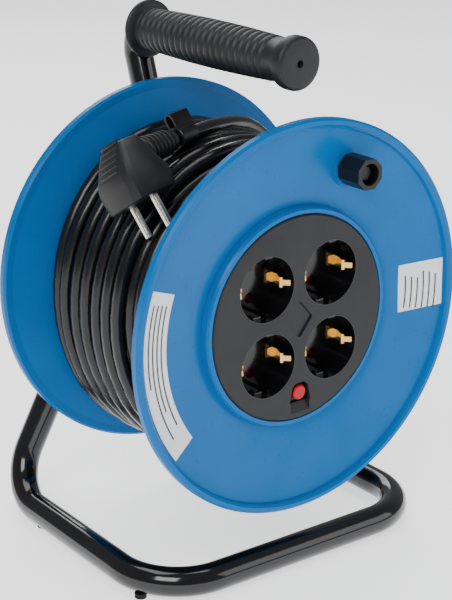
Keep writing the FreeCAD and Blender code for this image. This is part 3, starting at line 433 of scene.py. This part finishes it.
# Radius, and distance from the grip's front end, in mm.
CAP_PROFILE = [
    (2.0, 0.9),
    (2.2, 0),
    (2.9, 0),
    (3.1, 0.25),
    (12.2, 0),
    (13.9, 0.35),
    (14.8, 1.3),
    (15.1, 2.6),
    (15.1, 6.6),
    (14.8, 7.9),
    (14.0, 8.6),
    (12.9, 9.1),
    (12.45, 10),
    (12.4, 19.5),
]
# Share of the pitch, and drop under the rib's crest in mm.
RIB_PROFILE = [(0, 1.5), (0.12, 1.2), (0.22, 0.35), (0.34, 0), (0.66, 0), (0.78, 0.35), (0.88, 1.2)]
# Radius, and distance from the end of the ribs, in mm.
COLLAR_PROFILE = [
    (12.4, 0),
    (12.6, 0.8),
    (14.4, 1.4),
    (16.6, 2),
    (17.5, 3),
    (17.5, 4.4),
    (16.9, 5.2),
    (14.1, 5.5),
    (13.9, 2.6),
    (GRIP_BORE, -0.8),
]


def grip_outline():
    """Radius and distance from the grip's front end, in mm: out along the ribs and back in the bore."""
    points = list(CAP_PROFILE)
    pitch = GRIP_STRETCH / GRIP_RIBS
    for i in range(GRIP_RIBS):
        crest = GRIP_CREST + GRIP_SWELL * math.sin(math.pi * (i + 0.5) / GRIP_RIBS)
        for share, drop in RIB_PROFILE:
            points.append((crest - drop, GRIP_FIRST_RIB + (i + share) * pitch))
    end = GRIP_FIRST_RIB + GRIP_STRETCH
    points += [(radius, end + distance) for radius, distance in COLLAR_PROFILE]
    points += [(GRIP_BORE, CAP_INSIDE), (CAP_HOLE, CAP_INSIDE)]
    return points


grip_low, grip_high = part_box("handle_grip")
grip_front = Vector((0, grip_low.y, (grip_low.z + grip_high.z) / 2))
along_y = Matrix.Rotation(math.radians(-90), 3, "X")
grip = lathe("ribbed_grip", grip_outline(), grip_front, along_y, GRIP_RUBBER)
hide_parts("handle_grip")
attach(grip, "frame")

# ---------------------------------------------------------------- plug
# The plug's own frame: x along the cable, y across it, z along the pins.
PLUG_FACE = Vector((-0.0762, -0.0305, 0.2277))
PLUG_PINS = Vector((0.220, -0.517, -0.827)).normalized()
PLUG_CABLE = Vector((0.962, 0.255, 0.097)).normalized()
PLUG_ACROSS = PLUG_PINS.cross(PLUG_CABLE).normalized()
PLUG_ALONG = PLUG_ACROSS.cross(PLUG_PINS)
PLUG_TURN = Matrix((PLUG_ALONG, PLUG_ACROSS, PLUG_PINS)).transposed()
# How far the cable's middle line lies along the pins from the face: behind it.
CABLE_LEVEL = -25
PLUG_SHARP_ANGLE = 28
BLOCK_EASE = 0.5
# A cut corner is drawn by points at these shares of its length, pushed out a little in between.
CORNER_SHARES = (0, 0.06, 0.5, 0.94, 1)
CORNER_BULGE = 0.22
DIAGONAL = 0.7
# Sections of the plug: distance behind the face, left end, right end, half width, corner cut.
PLUG_SECTIONS = [
    (0.0, -15.6, 16.4, 16.2, 7.6),
    (0.6, -16.3, 17.3, 17.0, 8.0),
    (2.0, -16.5, 17.8, 17.3, 8.0),
    (8.0, -16.5, 18.6, 17.3, 7.0),
    (12.0, -16.5, 18.4, 16.6, 6.0),
    (15.0, -16.2, 17.2, 15.7, 5.4),
    (18.5, -14.6, 15.6, 14.9, 4.8),
    (24.0, -11.2, 14.2, 13.4, 4.2),
    (30.0, -7.4, 13.2, 11.6, 3.8),
    (33.2, -5.0, 12.6, 10.4, 3.4),
    (34.6, -3.4, 11.6, 9.4, 3.0),
    (35.0, -2.2, 10.6, 8.4, 2.8),
]


def plug_place(x, y, z):
    """A point from millimetres in the plug's own frame."""
    return PLUG_FACE + PLUG_TURN @ Vector((x, y, z)) * MM


def plug_ring(back, left, right, half_width, cut):
    """One section of the plug, parallel to its face: a box with its corners cut and eased."""
    corners = [
        (right, half_width, 1, 1),
        (left, half_width, -1, 1),
        (left, -half_width, -1, -1),
        (right, -half_width, 1, -1),
    ]
    ring = []
    for number, (corner_x, corner_y, side, level) in enumerate(corners):
        for share in CORNER_SHARES:
            bulge = CORNER_BULGE * cut * math.sin(math.pi * share)
            along = share if number % 2 == 0 else 1 - share
            x = corner_x - side * (cut * along) + side * bulge * DIAGONAL
            y = corner_y - level * (cut * (1 - along)) + level * bulge * DIAGONAL
            ring.append(plug_place(x, y, -back))
    return ring


def block(name, corners, low, high, material):
    """A prism on the plug: corners (x, z) in its side view, from y low to y high, edges eased."""
    made = bmesh.new()
    sides = []
    for y in (low, high):
        sides.append([made.verts.new(plug_place(x, y, z)) for x, z in corners])
    count = len(corners)
    for i in range(count):
        k = (i + 1) % count
        made.faces.new((sides[0][i], sides[0][k], sides[1][k], sides[1][i]))
    made.faces.new(sides[0])
    made.faces.new(sides[1])
    edges = made.edges[:]
    bmesh.ops.bevel(made, geom=edges, offset=BLOCK_EASE * MM, segments=2, affect="EDGES", profile=0.5)
    return add_mesh(name, made, material)


plug_skin = loft([plug_ring(*row) for row in PLUG_SECTIONS])
plug = add_mesh("moulded_plug", plug_skin, PLUG_RUBBER, PLUG_SHARP_ANGLE)
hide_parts("plug_body")
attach(plug, "drum")

# Thumb ribs across the plug's sloping back, whose side view starts at BACK_X, BACK_Z.
THUMB_RIBS = 6
THUMB_RIB_FIRST = -13.4
THUMB_RIB_PITCH = 2.1
THUMB_RIB_HALF_LENGTH = 7.5
THUMB_RIB_SECTION = [(-0.8, 1.6), (0.8, 0.2), (0.4, -1.3), (-1.2, 0.2)]
BACK_X = -16.2
BACK_Z = -16.4
BACK_SLOPE = 1.45
for i in range(THUMB_RIBS):
    middle = THUMB_RIB_FIRST + THUMB_RIB_PITCH * i
    level = BACK_Z - (middle - BACK_X) * BACK_SLOPE
    section = [(middle + x, level + z) for x, z in THUMB_RIB_SECTION]
    name = f"thumb_rib_{i + 1}"
    rib = block(name, section, -THUMB_RIB_HALF_LENGTH, THUMB_RIB_HALF_LENGTH, PLUG_RUBBER)
    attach(rib, "drum")

# ---------------------------------------------------------------- boot
# A tapering sleeve with six raised rings. Profiles are radius and distance along the cable, in mm.
BOOT_START = 14
BOOT_RINGS = 6
BOOT_FIRST_RING = 4
BOOT_PITCH = 3.6
BOOT_CREST = 8.9
BOOT_TAPER = 0.28
BOOT_COLLAR = [(4.3, 0), (8.4, 0), (8.4, 3.6)]
BOOT_TIP = [(6.6, 25.8), (6.4, 27), (5.9, 29.4), (5.2, 30), (4.3, 30)]
# Each ring's radii are counted from its crest.
RING_PROFILE = [(-0.5, 0), (0, 0.4), (0, 1.9), (-0.5, 2.3), (-2.2, 2.5), (-2.3, 3.5)]


def boot_outline():
    """The collar, then every ring a little smaller than the last, then the tip."""
    points = list(BOOT_COLLAR)
    for i in range(BOOT_RINGS):
        start = BOOT_FIRST_RING + BOOT_PITCH * i
        crest = BOOT_CREST - BOOT_TAPER * i
        points += [(crest + rise, start + distance) for rise, distance in RING_PROFILE]
    return points + BOOT_TIP


along_cable = PLUG_CABLE.to_track_quat("Z", "Y").to_matrix()
boot_place = plug_place(BOOT_START, 0, CABLE_LEVEL)
boot = lathe("ribbed_boot", boot_outline(), boot_place, along_cable, PLUG_RUBBER)
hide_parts("plug_boot")
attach(boot, "drum")

# ---------------------------------------------------------------- parking clip
# A collar round the cable, and a hook like a tall narrow staple on top.
CLIP_START = 47
CLIP_COLLAR = [(4.3, 0), (5.9, 0), (6.4, 0.5), (6.4, 13.5), (5.9, 14), (4.3, 14)]
COLLAR_SEGMENTS = 48
# The inside of the hook: height over the cable's middle line, and place across it.
HOOK_PROFILE = [(4.6, 2.2), (10.8, 2.2), (12.8, 1.6), (13.8, 0), (12.8, -1.6), (10.8, -2.2), (4.6, -2.2)]
HOOK_SKIN = 1.1
# Below this height the hook's legs stand on the collar, and have no skin under them.
HOOK_ROOT = 5
HOOK_INSET = 2
HOOK_STEP = 1.5
HOOK_STATIONS = 11
collar_place = plug_place(CLIP_START, 0, CABLE_LEVEL)
clip_collar = lathe("clip_collar", CLIP_COLLAR, collar_place, along_cable, BLACK_PLASTIC, COLLAR_SEGMENTS)


def hook_ring(x):
    """The hook's section: up one side, over the top and down the other, then back inside."""
    outer = []
    for above, across in HOOK_PROFILE:
        push = HOOK_SKIN if across > 0 else -HOOK_SKIN if across < 0 else 0
        lift = HOOK_SKIN if above > HOOK_ROOT else 0
        outer.append(plug_place(x, across + push, CABLE_LEVEL - above - lift))
    inner = [plug_place(x, across, CABLE_LEVEL - above) for above, across in reversed(HOOK_PROFILE)]
    return outer + inner


hook_stations = [CLIP_START + HOOK_INSET + HOOK_STEP * step for step in range(HOOK_STATIONS)]
clip_hook = add_mesh("clip_hook", loft([hook_ring(x) for x in hook_stations]), BLACK_PLASTIC)
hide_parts("cable_clip")
for piece in (clip_hook, clip_collar):
    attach(piece, "drum")

# ---------------------------------------------------------------- generic label marks
# The front flange's face is a cone, which rises from its inner edge to the rim. All in mm.
CONE_INNER_RADIUS = 66.5
CONE_INNER_DEPTH = 12.1
CONE_RISE = 8.3
CONE_WIDTH = 45.1
LABEL_RISE = 0.25
MARK_WIDTH = 1
DEGREES_PER_STEP = 2
# Bars follow the rim: the first one's radius, their pitch, and each one's first and last angle.
LEFT_BARS = (97, 3.2, [(164, 207), (164, 200), (164, 210), (164, 190)])
RIGHT_BARS = (84, 4.2, [(-7, 7), (-7, 6), (-7, 5), (-7, 7), (-7, 6), (-7, 5)])


def face_point(radius, angle):
    """A point just in front of the front flange's cone, from mm and degrees."""
    depth = CONE_INNER_DEPTH - (radius - CONE_INNER_RADIUS) * CONE_RISE / CONE_WIDTH - LABEL_RISE
    around = math.radians(angle)
    return at_depth(radius * math.cos(around), depth, radius * math.sin(around))


def mark(made, inner, outer, first, last):
    """A printed bar on the cone between two radii and two angles."""
    steps = round((last - first) / DEGREES_PER_STEP)
    rows = []
    for i in range(steps + 1):
        angle = first + (last - first) * i / steps
        rows.append((made.verts.new(face_point(inner, angle)), made.verts.new(face_point(outer, angle))))
    for (a, b), (c, d) in zip(rows, rows[1:]):
        made.faces.new((a, b, d, c))


marks = bmesh.new()
for radius, pitch, spans in (LEFT_BARS, RIGHT_BARS):
    for line, (first, last) in enumerate(spans):
        mark(marks, radius + pitch * line, radius + MARK_WIDTH + pitch * line, first, last)
print_marks = add_mesh("label_marks", marks, PRINT)
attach(print_marks, "drum")

# ---------------------------------------------------------------- what the cable is
cable.data.materials.append(CABLE_PVC)
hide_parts("cable_winding", "cable_tail")
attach(cable, "drum")


# ---------------------------------------------------------------- floor and light
FLOOR_HALF_SIZE = 6
FLOOR_GLOW = 1.2
FLOOR_MOTTLE_SCALE = 3
FLOOR_DARK = (0.86, 0.86, 0.86)
FLOOR_LIGHT = (0.9, 0.9, 0.9)
FLOOR_ROUGHNESS = 0.8
WORLD_TINT = (0.97, 0.98, 1, 1)
WORLD_STRENGTH = 0.3
AIM = (0, 0, 0.16)
# Name, place and size in metres, and power in watts.
LIGHTS = [
    ("key", (-1.3, -1.0, 1.5), (1.0, 1.0), 28),
    ("fill", (1.5, -1.6, 0.9), (1.4, 1.2), 11),
    ("top", (0.1, 0.3, 2.0), (1.6, 1.2), 22),
    ("rim", (0.6, 1.6, 1.2), (1.0, 0.8), 10),
]


def make_floor():
    """A pale paper floor that glows a little, so that it stays light."""
    mesh = bpy.data.meshes.new("floor")
    made = bmesh.new()
    bmesh.ops.create_grid(made, x_segments=1, y_segments=1, size=FLOOR_HALF_SIZE)
    made.to_mesh(mesh)
    made.free()
    floor = bpy.data.objects.new("floor", mesh)
    bpy.context.scene.collection.objects.link(floor)
    material, tree, shader = new_material("floor_paper")
    tint(tree, shader, noise(tree, FLOOR_MOTTLE_SCALE), FLOOR_DARK, FLOOR_LIGHT)
    shader.inputs["Roughness"].default_value = FLOOR_ROUGHNESS
    shader.inputs["Emission Color"].default_value = (1, 1, 1, 1)
    shader.inputs["Emission Strength"].default_value = FLOOR_GLOW
    mesh.materials.append(material)


def area_light(name, place, size, power):
    """A soft rectangular light that faces the reel."""
    data = bpy.data.lights.new(name, "AREA")
    data.shape = "RECTANGLE"
    data.size, data.size_y = size
    data.energy = power
    light = bpy.data.objects.new(name, data)
    bpy.context.scene.collection.objects.link(light)
    light.location = place
    light.rotation_mode = "QUATERNION"
    light.rotation_quaternion = (Vector(AIM) - Vector(place)).to_track_quat("-Z", "Y")


def make_world():
    """A dim, nearly white surround."""
    world = bpy.data.worlds.new("studio")
    bpy.context.scene.world = world
    world.use_nodes = True
    background = world.node_tree.nodes["Background"]
    background.inputs["Color"].default_value = WORLD_TINT
    background.inputs["Strength"].default_value = WORLD_STRENGTH


make_floor()
for light in LIGHTS:
    area_light(*light)
make_world()
